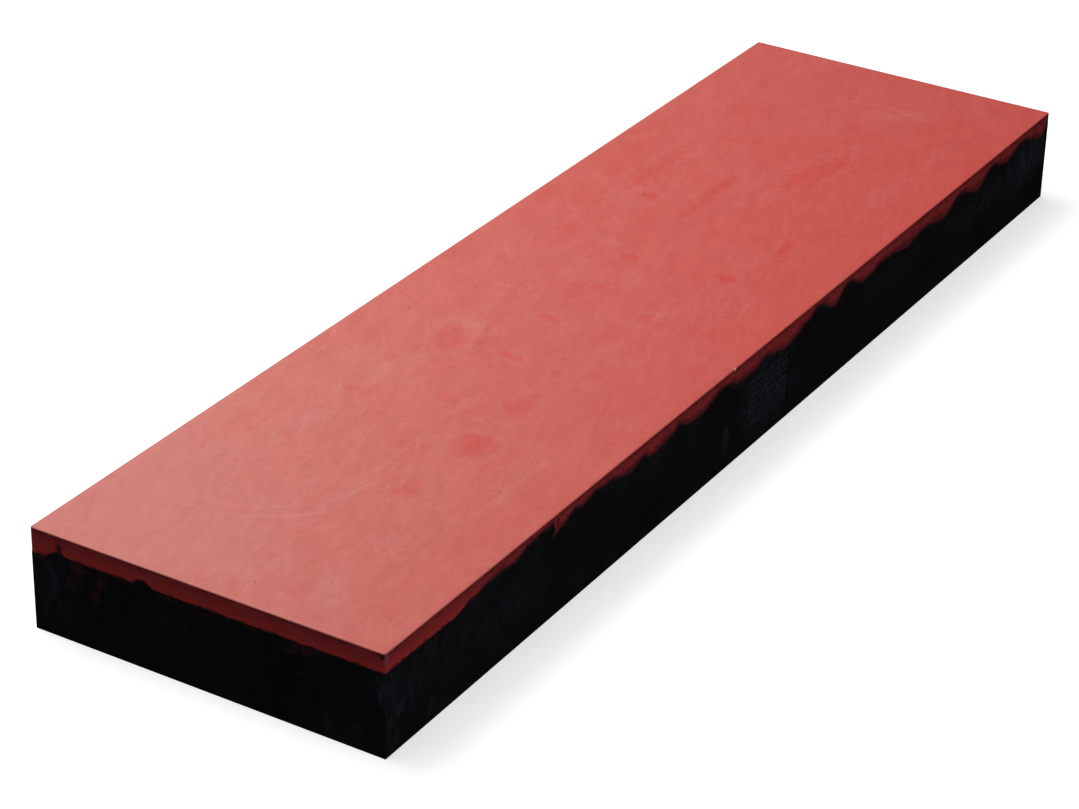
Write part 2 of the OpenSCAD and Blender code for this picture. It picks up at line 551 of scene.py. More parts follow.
def boss_steps(name):
    """The corners of a boss's CAD outline: the collar's radius, top and foot, and the weld's."""
    profile = boss_profile(name)
    radius = boss_radius(name)
    weld = max(r for r, z in profile)
    weld_foot = min(z for r, z in profile if r > weld - CLOSE)
    collar_high = max(z for r, z in profile if r > radius + CLOSE)
    collar = max(r for r, z in profile if z > collar_high - CLOSE)
    collar_low = min(z for r, z in profile if abs(r - collar) < CLOSE)
    return collar, collar_high, collar_low, weld, weld_foot


def boss_outline(name):
    """Radius and height of each corner of a boss's outside, from the top of its axis to the mouth."""
    radius, top = boss_radius(name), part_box(name)[1].z
    collar, collar_high, collar_low, weld, foot = boss_steps(name)
    return [
        (radius - BOSS_CHAMFER, top),
        (radius, top - BOSS_CHAMFER),
        (radius, collar_high),
        (collar - COLLAR_CHAMFER, collar_high),
        (collar, collar_high - COLLAR_CHAMFER),
        (collar, collar_low),
        ((collar + weld) / 2 - WELD_HOLLOW, (collar_low + foot) / 2 - WELD_HOLLOW),
        (weld, foot),
        (radius, foot),
        (radius, BOSS_CHAMFER / 2),
        (radius - BOSS_CHAMFER / 2, 0.0),
        (MOUTH_RADIUS, 0.0),
    ]


def thread_radius(z, turn):
    """Radius of the tapped hole at a height, where turn is the share of a turn round its axis."""
    place = ((z / THREAD_PITCH) - turn) % 1.0
    ridge = abs(2 * place - 1)
    inside = min(1.0, (z - THREAD_START) / THREAD_PITCH, (THREAD_END - z) / THREAD_PITCH)
    return THREAD_INNER + (THREAD_OUTER - THREAD_INNER) * ridge * max(0.0, inside)


def make_boss(name):
    """A turned steel boss with a collar, a weld bead and a blind tapped hole."""
    centre = boss_axis(name)
    mesh = bmesh.new()
    turns = [i / ROUND_SIDES for i in range(ROUND_SIDES)]
    rings = [[(radius, z)] * ROUND_SIDES for radius, z in boss_outline(name)]
    for z in spread(THREAD_START, THREAD_END, THREAD_PITCH / THREAD_ROWS):
        rings.append([(thread_radius(z, turn), z) for turn in turns])
    rows = []
    for ring in rings:
        row = []
        for turn, (radius, z) in zip(turns, ring):
            angle = 2 * math.pi * turn
            across = Vector((radius * math.cos(angle), radius * math.sin(angle), z))
            row.append(mesh.verts.new(centre + across))
        rows.append(row)
    crown = mesh.verts.new(centre + Vector((0, 0, boss_outline(name)[0][1])))
    tip = mesh.verts.new(centre + Vector((0, 0, DRILL_TIP)))
    for i in range(ROUND_SIDES):
        j = (i + 1) % ROUND_SIDES
        mesh.faces.new((crown, rows[0][i], rows[0][j]))
        mesh.faces.new((tip, rows[-1][j], rows[-1][i]))
        for upper, lower in zip(rows[:-1], rows[1:]):
            mesh.faces.new((upper[j], upper[i], lower[i], lower[j]))
    return add_object(mesh, "threaded_" + name)


# ---- marking bars

BAR_ROWS = 7
BAR_START = -PANEL_HALF_LENGTH + 4.5 * MM
BAR_END = PANEL_HALF_LENGTH - 1.2 * MM
BAR_TOP = PANEL_TOP - 1.5 * MM
BAR_PITCH = 5.2 * MM
BAR_HEIGHT = 2.6 * MM
BAR_GAP = 0.9 * MM
BAR_SINK = 0.2 * MM  # how far a bar reaches into the panel's floor
BAR_RADIUS = 0.25 * MM
BAR_SEGMENTS = 2


def bar_length(row, index):
    """Lengths that vary from bar to bar, so that a row reads as a moulded mark and says nothing."""
    wave = math.sin(2.1 * index + 1.7 * row) + math.sin(0.9 * index * (row + 1))
    return (3.2 + 0.9 * wave) * MM


def make_bars():
    """Rows of small plain bars that stand in the marking panel."""
    mesh = bmesh.new()
    front = -HALF_WIDTH
    back = front + PANEL_DEPTH + BAR_SINK
    for row in range(BAR_ROWS):
        z = BAR_TOP - (row + 0.5) * BAR_PITCH
        x = BAR_START
        index = 0
        while True:
            length = bar_length(row, index)
            if x + length > BAR_END:
                break
            centre = Vector((x + length / 2, (front + back) / 2, z))
            size = Matrix.Diagonal((length, back - front, BAR_HEIGHT, 1))
            bmesh.ops.create_cube(mesh, size=1.0, matrix=Matrix.Translation(centre) @ size)
            x += length + BAR_GAP
            index += 1
    outer = [edge for edge in mesh.edges if any(v.co.y < front + CLOSE for v in edge.verts)]
    bevel(mesh, outer, BAR_RADIUS, BAR_SEGMENTS)
    return add_object(mesh, "marking_bars", sharp_edges=False)


# ---- marks, worked out at vertices

# Where the wear face shows deeper red through thin dust: place from the near end and from the front
# side, half-length and half-width in millimetres, strength
DEEP_SPOTS = (
    (225, 84, 19, 18, 1.0), (231, 92, 9, 9, 1.0), (158, 90, 20, 13, 0.65), (283, 88, 25, 12, 0.7),
    (175, 191, 13, 9, 0.7), (241, 185, 8, 20, 0.65), (292, 192, 14, 8, 0.5),
    (267, 133, 12, 13, 0.65), (263, 110, 20, 9, 0.6), (207, 110, 9, 6, 0.7), (112, 193, 16, 6, 0.4),
    (95, 150, 9, 20, 0.35), (120, 120, 26, 10, 0.3), (120, 60, 44, 26, 0.35),
    (50, 85, 12, 22, 0.45), (210, 45, 50, 12, 0.3), (336, 177, 28, 19, 0.7), (345, 155, 14, 6, 0.6),
    (337, 129, 7, 15, 0.85), (335, 91, 18, 5, 0.55), (395, 137, 10, 15, 0.75),
    (406, 178, 26, 16, 0.45), (430, 83, 15, 11, 0.6), (505, 140, 11, 10, 0.7),
    (453, 133, 8, 8, 0.7), (515, 67, 8, 14, 0.85), (545, 70, 18, 18, 0.4), (575, 57, 22, 8, 0.65),
    (470, 60, 60, 30, 0.25), (545, 190, 18, 18, 0.45), (598, 178, 13, 12, 0.7),
    (625, 142, 68, 10, 0.62), (690, 103, 50, 9, 0.62), (712, 91, 50, 10, 0.66),
    (655, 197, 90, 13, 0.56), (520, 212, 50, 7, 0.3), (846, 95, 10, 24, 0.5),
    (811, 142, 10, 8, 0.5), (775, 132, 12, 6, 0.5), (785, 36, 26, 5, 0.45), (700, 40, 70, 14, 0.25),
)
# Pale, dusty patches, in the same form
PALE_SPOTS = (
    (105, 217, 30, 12, 0.9), (23, 139, 9, 12, 1.0), (28, 120, 10, 13, 0.8), (33, 62, 15, 12, 0.7),
    (40, 145, 10, 34, 0.4), (68, 150, 12, 36, 0.4), (200, 188, 20, 9, 0.6), (275, 187, 20, 9, 0.6),
    (300, 176, 6, 12, 0.6), (363, 178, 6, 13, 0.7), (150, 118, 34, 8, 0.4), (392, 118, 12, 8, 0.6),
    (185, 37, 58, 5, 0.35), (470, 158, 22, 8, 0.6), (465, 222, 34, 8, 0.5), (520, 168, 9, 14, 0.8),
    (485, 120, 20, 10, 0.4), (580, 180, 16, 8, 0.5), (560, 120, 30, 8, 0.35),
    (610, 165, 16, 6, 0.4), (620, 125, 60, 10, 0.25), (822, 99, 12, 10, 0.6), (838, 76, 9, 16, 0.4),
    (760, 215, 60, 10, 0.25),
)

# Films of red that ran down the near end: place from the front side, depth, half-width and
# half-height in millimetres, strength
NEAR_END_FILMS = (
    (58, 16, 14, 6, 0.75), (66, 21, 6, 6, 0.7), (47, 31, 14, 4, 0.6), (56, 32, 6, 5, 0.6),
    (52, 39, 5, 3, 0.45), (100, 13, 40, 3, 0.5), (130, 18, 26, 8, 0.45), (142, 33, 9, 2, 0.5),
    (150, 14, 10, 5, 0.6), (185, 14, 26, 4, 0.5), (196, 20, 6, 9, 0.7), (202, 32, 7, 7, 0.75),
    (205, 36, 4, 4, 0.7), (214, 17, 11, 6, 0.85), (220, 27, 9, 6, 0.6), (223, 31, 4, 4, 0.7),
    (240, 18, 12, 4, 0.7),
)
# The same on the front side, with places from the near end
FRONT_FILMS = (
    (56, 18, 16, 3, 0.4), (185, 8, 5, 3, 0.9), (350, 16, 14, 3, 0.5), (408, 14, 12, 4, 0.6),
    (470, 17, 16, 2, 0.5), (560, 9, 14, 4, 0.35), (625, 11, 16, 3, 0.3), (700, 15, 12, 3, 0.4),
)
# Pale fingertip smudges and rubbed streaks on the black of the front side, in the same form
FRONT_SMUDGES = (
    (45, 59, 3, 7, 1.0), (16, 45, 7, 9, 0.8), (8, 40, 8, 30, 0.6), (26, 35, 3, 12, 0.6),
    (394, 46, 4, 11, 1.0), (391, 52, 3, 8, 0.8), (120, 40, 50, 18, 0.35), (60, 30, 60, 26, 0.25),
    (866, 26, 46, 18, 1.0), (790, 30, 60, 12, 0.5), (650, 28, 60, 10, 0.3), (450, 36, 36, 26, 0.8),
)
NEAR_END_SMUDGES = (
    (5, 24, 6, 14, 1.0), (9, 33, 3, 9, 0.7), (232, 38, 18, 28, 0.6), (20, 56, 5, 6, 0.4),
    (40, 60, 2, 14, 0.6), (28, 66, 10, 4, 0.4),
)


def smooth_step(values, low, high):
    share = np.clip((values - low) / (high - low), 0.0, 1.0)
    return share * share * (3.0 - 2.0 * share)


def add_spots(across, along, spots):
    """The strength of the strongest soft oval at each vertex."""
    total = np.zeros_like(across)
    for x, y, half_x, half_y, strength in spots:
        distance = np.hypot((across - x) / half_x, (along - y) / half_y)
        total = np.maximum(total, strength * (1.0 - smooth_step(distance, 0.1, 1.5)))
    return total


STRAY_WAVES = ((16, 5.0), (6, 3.5))  # size and height of the waves in a mark's outline, in mm


def stray(points, seed):
    """How far a mark's outline strays at each point, in millimetres."""
    total = np.zeros(len(points))
    for size, height in STRAY_WAVES:
        scaled = points / (size * MM) + seed
        total += height * np.array([noise.noise(Vector(point)) for point in scaled])
    return total


def store(piece, name, values):
    attribute = piece.data.attributes.new(name, "FLOAT", "POINT")
    attribute.data.foreach_set("value", np.clip(values, 0.0, 1.0).astype(np.float32))


def read_all(items, name, kind=float, width=1):
    """One property of every item, in rows where it holds more than one number."""
    values = np.empty(len(items) * width, kind)
    items.foreach_get(name, values)
    return values.reshape(-1, width) if width > 1 else values


def vertex_points(piece):
    return read_all(piece.data.vertices, "co", width=3)


SIDE_START = 0.2 * MM  # dust and painted sheen thin out from here, below the wear face
SIDE_FULL = 1.0 * MM
DUST_AND_SHEEN_LENGTH = 620  # dust and painted sheen lie thicker over this much of the block, counted from the near end
DUST_AND_SHEEN_CURVE = 1.3
DUST_AND_SHEEN_LEAST = 0.24
DUST_AND_SHEEN_TO_BACK = 0.22  # more dust and painted sheen towards the back
DUST_AND_SHEEN_TO_NEAR = 0.36  # and towards the near end
DUST_AND_SHEEN_IN_CORNER = 0.36  # and where both meet
PALE_STRENGTH = 0.26


def from_corner(points):
    """Millimetres from the near end and from the front side."""
    return (points[:, 0] + HALF_LENGTH) / MM, (points[:, 1] + HALF_WIDTH) / MM


def mark_cover(cover):
    """Works out how much dust and painted sheen the red rubber carries, where its deep spots are and
    which part is a side.
    """
    points = vertex_points(cover)
    from_near, from_front = from_corner(points)
    to_back = from_front / (2 * HALF_WIDTH / MM)
    to_near = np.clip(1.0 - from_near / DUST_AND_SHEEN_LENGTH, 0.0, 1.0) ** DUST_AND_SHEEN_CURVE
    # The wear face pales towards the back and the near end: partly dust, partly a painted sheen of
    # light glancing off it
    dust_and_sheen = DUST_AND_SHEEN_LEAST + DUST_AND_SHEEN_TO_BACK * to_back + to_near * (DUST_AND_SHEEN_TO_NEAR + DUST_AND_SHEEN_IN_CORNER * to_back)
    from_near = from_near + stray(points, 3)
    from_front = from_front + stray(points, 7)
    dust_and_sheen = dust_and_sheen + PALE_STRENGTH * add_spots(from_near, from_front, PALE_SPOTS)
    store(cover, "dust_and_sheen", dust_and_sheen)
    store(cover, "deep", add_spots(from_near, from_front, DEEP_SPOTS))
    store(cover, "side", smooth_step(TOP - points[:, 2], SIDE_START, SIDE_FULL))


def mark_body(body):
    """Works out where the black rubber carries a red film, and where it is rubbed or dusty."""
    points = vertex_points(body)
    shift = stray(points, 5)
    from_near, from_front = from_corner(points)
    depth = (TOP - points[:, 2]) / MM + 0.5 * shift
    on_front = points[:, 1] < -HALF_WIDTH + WORN_CORNER_RADIUS
    on_near_end = points[:, 0] < -HALF_LENGTH + WORN_CORNER_RADIUS
    for name, ragged_by, front_marks, end_marks in (
        ("film", 1.0, FRONT_FILMS, NEAR_END_FILMS),
        ("smudge", 0.3, FRONT_SMUDGES, NEAR_END_SMUDGES),
    ):
        front = add_spots(from_near + ragged_by * shift, depth, front_marks)
        end = add_spots(from_front + ragged_by * shift, depth, end_marks)
        store(body, name, np.maximum(np.where(on_front, front, 0), np.where(on_near_end, end, 0)))


# ---- texture layout

# How each surface is laid flat: the axes along and across it, and its scale in the layout
SHEETS = {
    TOP_FACE: (0, 1, 1.0),
    FRONT: (0, 2, 1.0),
    BACK: (0, 2, 1.0),
    NEAR_END: (1, 2, 1.0),
    FAR_END: (1, 2, 1.0),
    UNDERSIDE: (0, 1, 0.5),
    HIDDEN: (0, 1, 0.1),
}
SHEET_GAP = 3 * MM


def face_numbers(piece):
    """For each face corner: its vertex's place, its face's middle and its face's surface."""
    data = piece.data
    vertex = read_all(data.loops, "vertex_index", int)
    middles = read_all(data.polygons, "center", width=3)
    surfaces = read_all(data.attributes["surface"].data, "value", int)
    face = np.repeat(np.arange(len(data.polygons)), read_all(data.polygons, "loop_total", int))
    return vertex_points(piece)[vertex], middles[face], surfaces[face]


def lay_out(piece):
    """Lays each surface flat in a square, the long ones in two strips, so that textures fit them."""
    points, middles, surfaces = face_numbers(piece)
    flat = np.zeros((len(points), 2))
    height = SHEET_GAP
    for surface, (along, across, scale) in SHEETS.items():
        here = surfaces == surface
        if not here.any():
            continue
        place = points[here][:, [along, across]] * scale
        start = place.min(axis=0)
        size = place.max(axis=0) - start
        place = place - start
        strip = size[1] + SHEET_GAP
        folded = (size[0] > 1.01 * HALF_LENGTH) & (middles[here][:, 0] > 0)
        place[:, 0] -= folded * HALF_LENGTH
        place[:, 1] += height + folded * strip
        place[:, 0] += SHEET_GAP
        flat[here] = place
        height += strip * (2 if folded.any() else 1)
    layer = piece.data.uv_layers.new(name="OFBake")
    layer.data.foreach_set("uv", (flat / max(height, flat.max() + SHEET_GAP)).ravel())


# ---- materials


def on_block(from_near, from_front, depth=0.0):
    """A place on the block, from millimetres from its near end, front side and wear face."""
    return (-HALF_LENGTH + from_near * MM, -HALF_WIDTH + from_front * MM, TOP - depth * MM)


ENDLESS = 1e6  # a scale so large that the place along its axis no longer counts


# The sockets of a Mix node that it uses when it blends colours
MIX_SHARE, MIX_ONE, MIX_OTHER, MIX_RESULT = 0, 6, 7, 2


class Nodes:
    """The nodes of a material or a world."""

    def __init__(self, data):
        data.use_nodes = True
        self.data = data
        self.tree = data.node_tree

    def fill(self, node, inputs):
        """Sets a node's inputs to numbers or colours, or links them to other nodes' outputs."""
        for name, value in inputs.items():
            if isinstance(value, bpy.types.NodeSocket):
                self.tree.links.new(value, node.inputs[name])
            else:
                node.inputs[name].default_value = value

    def node(self, kind, inputs=None, **settings):
        """A new node, with its settings set and its inputs filled."""
        made = self.tree.nodes.new("ShaderNode" + kind)
        for name, value in settings.items():
            setattr(made, name, value)
        self.fill(made, inputs or {})
        return made


class Material(Nodes):
    """A node material, with short names for the nodes that the rubbers and the steel use."""

    def __init__(self, name):
        super().__init__(bpy.data.materials.new(name))
        self.place = self.node("TexCoord").outputs["Object"]

    def stretched(self, stretch, turn=0.0, tilt=0.0, centre=(0, 0, 0)):
        """The place on the part, drawn out along axes turned about Z and tilted about Y."""
        rotation = (0, math.radians(tilt), math.radians(turn))
        inputs = {"Vector": self.place, "Location": centre, "Rotation": rotation, "Scale": stretch}
        return self.node("Mapping", inputs, vector_type="TEXTURE").outputs["Vector"]

    def noise(self, size, detail=4.0, roughness=0.55, distortion=0.0, place=None):
        """Noise from 0 to 1 whose blobs are about size millimetres across."""
        inputs = {
            "Vector": place or self.place,
            "Scale": 1.0 / (size * MM),
            "Detail": detail,
            "Roughness": roughness,
            "Distortion": distortion,
        }
        return self.node("TexNoise", inputs).outputs["Fac"]

    def feathers(self):
        """Fine slanting streaks, as a flowing edge leaves them."""
        return self.noise(1.6, 3, 0.6, 0.3, self.stretched((7.0, 7.0, 1.0), 0.0, 35.0))

    def attribute(self, name):
        return self.node("Attribute", attribute_name=name).outputs["Fac"]

    def math(self, operation, one, other=0.0):
        return self.node("Math", {0: one, 1: other}, operation=operation).outputs[0]

    def plus(self, one, other):
        return self.math("ADD", one, other)

    def times(self, one, other):
        return self.math("MULTIPLY", one, other)

    def swing(self, fac, size):
        """A value from 0 to 1 made to swing evenly about 0, by half of size either way."""
        return self.times(self.plus(fac, -0.5), size)

    def add(self, total, value, size):
        """The total plus the value times size."""
        return self.plus(total, self.times(value, size))

    def larger(self, one, other):
        return self.math("MAXIMUM", one, other)

    def between(self, value, low, high, start=0.0, end=1.0):
        """A smooth step from start to end as value goes from low to high."""
        inputs = {"Value": value, "From Min": low, "From Max": high, "To Min": start, "To Max": end}
        made = self.node("MapRange", inputs, interpolation_type="SMOOTHSTEP")
        return made.outputs["Result"]

    def blend(self, share, one, other):
        inputs = {MIX_SHARE: share, MIX_ONE: one, MIX_OTHER: other}
        return self.node("Mix", inputs, data_type="RGBA").outputs[MIX_RESULT]

    def distance(self, centre, stretch, turn=0.0, tilt=0.0):
        """Distance from a centre, counted in the stretch along each turned and tilted axis."""
        inputs = {0: self.stretched(stretch, turn, tilt, centre)}
        return self.node("VectorMath", inputs, operation="LENGTH").outputs["Value"]

    def oval(self, centre, halves, edge=0.5, turn=0.0, tilt=0.0):
        """1 inside an oval of those half-sizes in millimetres and 0 outside it.

        The oval is turned about Z and tilted about Y by some degrees.
        """
        stretch = tuple(half * MM for half in halves)
        return self.between(self.distance(centre, stretch, turn, tilt), 1.0, edge)

    def rings(self, centre, size):
        """Noise that only changes with the distance from an upright axis, as a trowel leaves it."""
        distance = self.distance(centre, (1.0, 1.0, ENDLESS))
        inputs = {"W": distance, "Scale": 1.0 / (size * MM), "Detail": 2.0}
        return self.node("TexNoise", inputs, noise_dimensions="1D").outputs["Fac"]

    def bump(self, layers):
        """Bumps from (height, distance in millimetres) pairs, each on top of the last."""
        normal = None
        for height, distance in layers:
            inputs = {"Height": height, "Distance": distance * MM, "Strength": 1.0}
            if normal is not None:
                inputs["Normal"] = normal
            normal = self.node("Bump", inputs).outputs["Normal"]
        return normal

    def finish(self, base, roughness, bumps, specular=0.5, metallic=0.0):
        """Fills the shader's sockets and returns the material."""
        inputs = {"Base Color": base, "Roughness": roughness, "Normal": self.bump(bumps)}
        inputs.update({"Specular IOR Level": specular, "Metallic": metallic})
        self.fill(self.tree.nodes["Principled BSDF"], inputs)
        return self.data


def colour(red, green, blue):
    return (red, green, blue, 1.0)


RED_BARE = colour(0.540, 0.045, 0.036)
# The pale red of the wear face: dust, and a painted sheen
RED_DUSTY_AND_SHEENED = colour(0.550, 0.172, 0.142)
RED_SIDE = colour(0.480, 0.043, 0.044)
RED_SIDE_DARK = colour(0.260, 0.028, 0.036)
RED_LOWER = colour(0.640, 0.050, 0.048)
# Red thinned out over black rubber, also used as the painted shadow under the wear face's edge
RED_THIN_AND_SHADED = colour(0.150, 0.018, 0.024)
# Paler, greyer red of the rubbed near front corner, with a painted highlight on its rounded edge
RED_WORN_AND_HIGHLIT = colour(0.340, 0.110, 0.140)
# Near-black red: painted shade inside chips and pinholes, and black rubber smeared over red
RED_SHADE_AND_SMEAR = colour(0.060, 0.010, 0.014)
PALE_NICK = colour(0.750, 0.450, 0.400)
BLACK_MID = colour(0.0094, 0.0097, 0.0128)
BLACK_DEEP = colour(0.0060, 0.0060, 0.0068)
BLACK_BLOOM = colour(0.0380, 0.0430, 0.0560)
BLACK_FILM = colour(0.0850, 0.0220, 0.0280)

# Chips in the cover's sides, painted dark as the shade inside them: middle, half-sizes and tilt
CHIPS = (
    ((0, 2.0, 2.6), (3, 1.5, 2.2), 0),
    ((0, 5.0, 1.0), (3, 4.5, 0.7), 0),
    ((183.0, 0, 6.0), (1.2, 2, 3.6), 20),
)
# Soft black smears over the cover's lower edge: middle and half-sizes
SMEARS = (((0, 229, 8.5), (4, 4.0, 6.0)), ((0, 168, 11.0), (4, 5.0, 4.0)))
# Drips of red that ran on down over the black: middle, half-sizes and tilt
DRIPS = (((179.6, 0, 12.2), (1.1, 2, 3.6), 25),)

ALL_HEIGHTS = 1000.0  # a half-height that takes in the whole block, in millimetres
EVERYWHERE = 10000.0  # a half-length or half-width that does the same
# Thin pale scratches in the wear face: middle, half-length, half-width, turn and strength
SCRATCHES = (
    (478, 35, 44, 1.0, 12, 0.24), (532, 46, 20, 1.3, 14, 0.14), (190, 39, 58, 1.1, -2, 0.14),
    (195, 119, 72, 1.2, 2, 0.16), (606, 188, 9, 0.8, 28, 0.30),
)
# Pinholes in the wear face, painted dark as the shade inside them: place and radius
PINHOLES = ((22, 104, 1.1), (186, 43, 0.9), (358, 222, 1.3), (600, 181, 1.4))
# Trowel strokes: centre of the arcs, then the middle and half-sizes of the part that shows, strength
STROKES = (
    ((163, 192), (92, 155), (28, 56), 0.45),
    ((163, 192), (150, 118), (34, 12), 0.15),
    ((745, 110), (838, 105), (24, 55), 0.2),
)


def wrinkles(made):
    """Thin curved wrinkles, here and there over the middle of the wear face, from 0 to 1."""
    field = made.noise(30, 3, 0.5, 1.5, made.stretched((1.7, 1.0, 1.0), 15))
    line = made.between(made.math("ABSOLUTE", made.plus(field, -0.5)), 0.018, 0.0)
    patches = made.between(made.noise(42, 2, 0.5), 0.48, 0.60)
    region = made.oval(on_block(400, 130), (390, 105, ALL_HEIGHTS), 0.6)
    return made.times(made.times(line, patches), region)


def wear_dust_and_sheen(made, clouds, flow, speckle):
    """How much dust and painted sheen lie on the wear face, from 0 to 1, and how close each place is to
    a rim.
    """
    uneven = made.swing(clouds, 0.24)
    uneven = made.plus(uneven, made.swing(flow, 0.22))
    uneven = made.plus(uneven, made.swing(speckle, 0.10))
    stored_dust_and_sheen = made.attribute("dust_and_sheen")
    dust_and_sheen = made.plus(stored_dust_and_sheen, made.times(uneven, made.between(stored_dust_and_sheen, 0.2, 0.9, 1.0, 2.0)))
    for centre, middle, halves, strength in STROKES:
        shown = made.oval(on_block(*middle), (*halves, ALL_HEIGHTS), edge=0.3)
        stroke = made.between(made.rings(on_block(*centre), 6.0), 0.50, 0.75, 0.0, strength)
        dust_and_sheen = made.add(dust_and_sheen, stroke, shown)
    for x, y, half_length, half_width, turn, strength in SCRATCHES:
        halves = (half_length, half_width, ALL_HEIGHTS)
        scratch = made.oval(on_block(x, y), halves, 0.4, turn)
        dust_and_sheen = made.add(dust_and_sheen, scratch, strength)
    ragged = made.plus(made.attribute("deep"), made.swing(speckle, 1.6))
    rim = made.times(made.between(ragged, 0.10, 0.28), made.between(ragged, 0.46, 0.28))
    rim = made.times(rim, made.between(made.attribute("deep"), 0.02, 0.3))
    dust_and_sheen = made.add(dust_and_sheen, rim, 0.16)
    dust_and_sheen = made.plus(dust_and_sheen, made.times(wrinkles(made), 0.16))
    return made.plus(dust_and_sheen, made.between(ragged, 0.15, 1.25, 0.0, -0.34)), rim


def red_side(made):
    """The cover's sides: shaded below the lip, bright lower down, feathered over the black rubber."""
    patches = made.noise(6, 4, 0.65, 0.8, made.stretched((2.0, 2.0, 1.0)))
    feathers = made.feathers()
    side = made.blend(made.between(patches, 0.45, 0.72, 0.0, 0.6), RED_SIDE, RED_SIDE_DARK)
    shade = made.oval((0, 0, TOP), (EVERYWHERE, EVERYWHERE, 6.5), 0.3)
    shade = made.times(shade, made.between(feathers, 0.38, 0.62, 0.15, 0.85))
    side = made.blend(shade, side, RED_SIDE_DARK)
    # A painted shadow: a thin dark line just under the wear face's edge
    lip = made.oval((0, 0, TOP - 1.5 * MM), (EVERYWHERE, EVERYWHERE, 0.9), 0.4)
    lip = made.times(lip, made.between(patches, 0.30, 0.55))
    side = made.blend(made.times(lip, 0.8), side, RED_THIN_AND_SHADED)
    uneven = made.plus(made.swing(patches, 1.4), made.plus(feathers, -0.5))
    reach = made.plus(made.attribute("fringe"), uneven)
    near = made.oval(on_block(0, 0), (125, 600, ALL_HEIGHTS), 0.6)
    bright = made.times(made.between(reach, 0.15, 0.55, 0.0, 0.7), near)
    side = made.blend(bright, side, RED_LOWER)
    mottle = made.times(made.between(reach, 0.05, 0.7, 0.0, 0.9), made.between(near, 1.0, 0.0))
    side = made.blend(mottle, side, RED_THIN_AND_SHADED)
    side = made.blend(made.between(reach, 0.75, 1.15, 0.0, 0.95), side, RED_THIN_AND_SHADED)
    # Wear and a painted highlight on the rounded near front corner
    worn_and_highlit = made.oval(on_block(1.5, 0, 3.5), (3.2, 2.5, 5.5), 0.5)
    side = made.blend(made.times(worn_and_highlit, 0.6), side, RED_WORN_AND_HIGHLIT)
    for centre, halves, tilt in CHIPS:
        # painted shade darkens each chip
        chip_shade = made.oval(on_block(*centre), halves, 0.6, 0.0, tilt)
        side = made.blend(chip_shade, side, RED_SHADE_AND_SMEAR)
    for centre, halves in SMEARS:
        smear = made.oval(on_block(*centre), halves, 0.1)
        side = made.blend(smear, side, RED_SHADE_AND_SMEAR)
    return side


def red_rubber():
    """Soft red rubber: mottled, dusty and painted with a pale sheen on the wear face, deep and plain on
    the sides.
    """
    made = Material("red_rubber")
    clouds = made.noise(34, 5, 0.6, 0.4, made.stretched((1.5, 1.0, 1.0), 12))
    flow = made.noise(9, 4, 0.6, 0.8, made.stretched((3.0, 1.0, 1.0), 17))
    speckle = made.noise(5.0, 4, 0.7, 0.3)
    grain = made.noise(1.3, 3, 0.7)
    near_lines = made.noise(2.6, 2, 0.5, 0.0, made.stretched((1.0, 30.0, 1.0)))
    near = made.oval(on_block(0, 125), (62, 400, ALL_HEIGHTS), 0.2)
    dust_and_sheen, rim = wear_dust_and_sheen(made, clouds, flow, speckle)
    dust_and_sheen = made.add(dust_and_sheen, made.times(made.plus(near_lines, -0.5), near), 0.35)
    # Dust and a painted sheen pale the wear face
    wear = made.blend(dust_and_sheen, RED_BARE, RED_DUSTY_AND_SHEENED)
    shadow = made.between(grain, 0.3, 0.7, 0.08, 0.0)
    shadow = made.plus(shadow, made.between(flow, 0.3, 0.7, 0.055, 0.0))
    shadow = made.plus(shadow, made.between(speckle, 0.3, 0.7, 0.05, 0.0))
    wear = made.blend(shadow, wear, colour(0, 0, 0))
    for x, y, radius in PINHOLES:
        # painted shade darkens each pinhole
        hole = made.oval(on_block(x, y), (radius, radius, ALL_HEIGHTS), 0.5)
        wear = made.blend(made.times(hole, 0.6), wear, RED_SHADE_AND_SMEAR)
    side = red_side(made)
    base = made.blend(made.attribute("side"), wear, side)
    nick = made.oval(on_block(402, 0, 0.5), (1.7, 1.2, 1.3), 0.6)
    base = made.blend(nick, base, PALE_NICK)
    roughness = made.add(0.52, clouds, 0.14)
    crinkles = made.times(speckle, made.plus(0.3, rim))
    bumps = ((flow, 0.08), (crinkles, 0.15), (grain, 0.04))
    return made.finish(base, roughness, bumps, specular=0.25)


